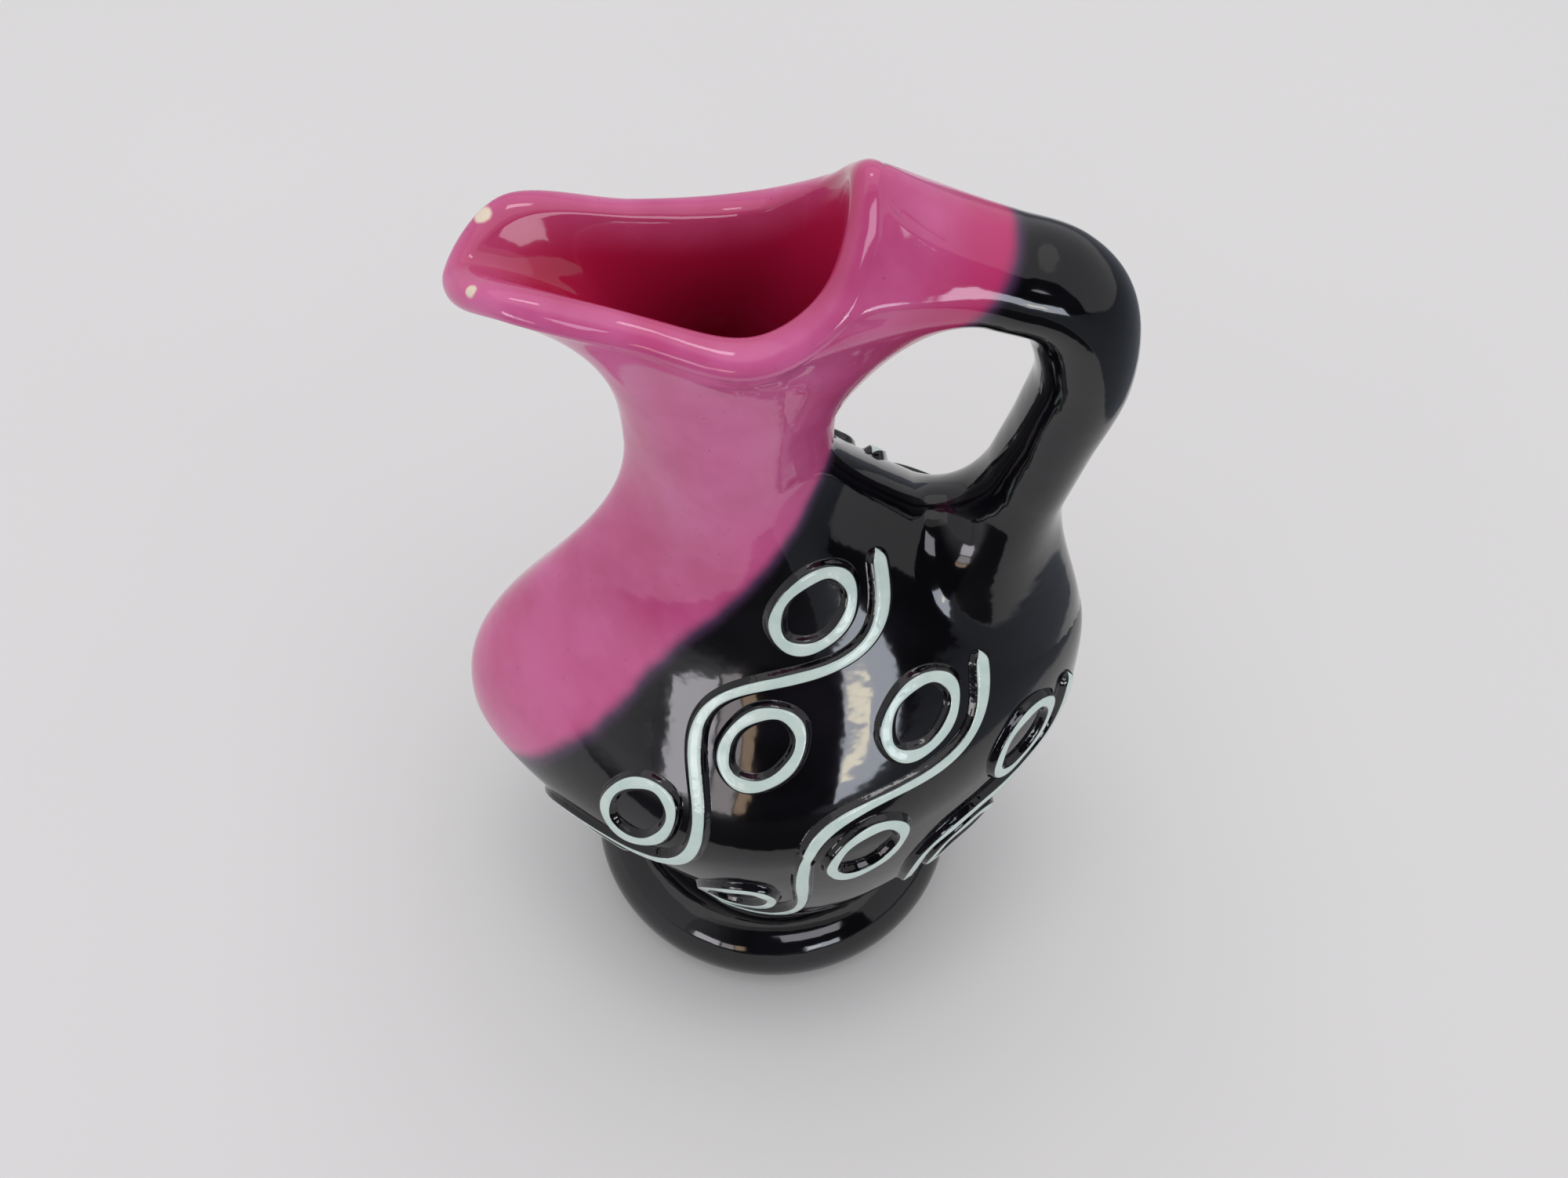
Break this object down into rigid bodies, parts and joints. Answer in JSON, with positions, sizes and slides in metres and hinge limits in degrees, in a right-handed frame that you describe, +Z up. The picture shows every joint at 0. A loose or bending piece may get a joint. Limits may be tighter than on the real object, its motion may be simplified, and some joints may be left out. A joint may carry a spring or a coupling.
{
  "type": "ceramic jug",
  "caption": "Hand-built ceramic jug with an oval belly on a rolled foot, a pinched pouring spout, a loop handle and raised trailed slip lines.",
  "frame": {"origin": "on the standing surface, under the middle of the jug and of its foot", "axes": "+Z up, the spout points to -X and the handle to +X, the front faces -Y"},
  "size_m": [0.138, 0.1048, 0.2481],
  "materials": {
    "black_glaze": "high-gloss black glaze with a blue-violet sheen",
    "pink_glaze": "glossy raspberry pink glaze",
    "pale_slip": "pale mint trailed slip with glossy black edges"
  },
  "bodies": {
    "root": {"foot": "black_glaze", "belly": "black_glaze", "neck": "pink_glaze", "handle": "black_glaze", "front_upper_wave": "pale_slip", "front_upper_ring_1": "pale_slip", "front_upper_ring_2": "pale_slip", "front_upper_ring_3": "pale_slip", "front_upper_ring_4": "pale_slip", "front_middle_wave": "pale_slip", "front_middle_ring_1": "pale_slip", "front_middle_ring_2": "pale_slip", "front_middle_ring_3": "pale_slip", "front_lower_wave": "pale_slip", "front_lower_ring_1": "pale_slip", "front_lower_ring_2": "pale_slip", "back_upper_wave": "pale_slip", "back_upper_ring_1": "pale_slip", "back_upper_ring_2": "pale_slip", "back_upper_ring_3": "pale_slip", "back_upper_ring_4": "pale_slip", "back_middle_wave": "pale_slip", "back_middle_ring_1": "pale_slip", "back_middle_ring_2": "pale_slip", "back_middle_ring_3": "pale_slip", "back_lower_wave": "pale_slip", "back_lower_ring_1": "pale_slip", "back_lower_ring_2": "pale_slip"}
  },
  "joints": []
}
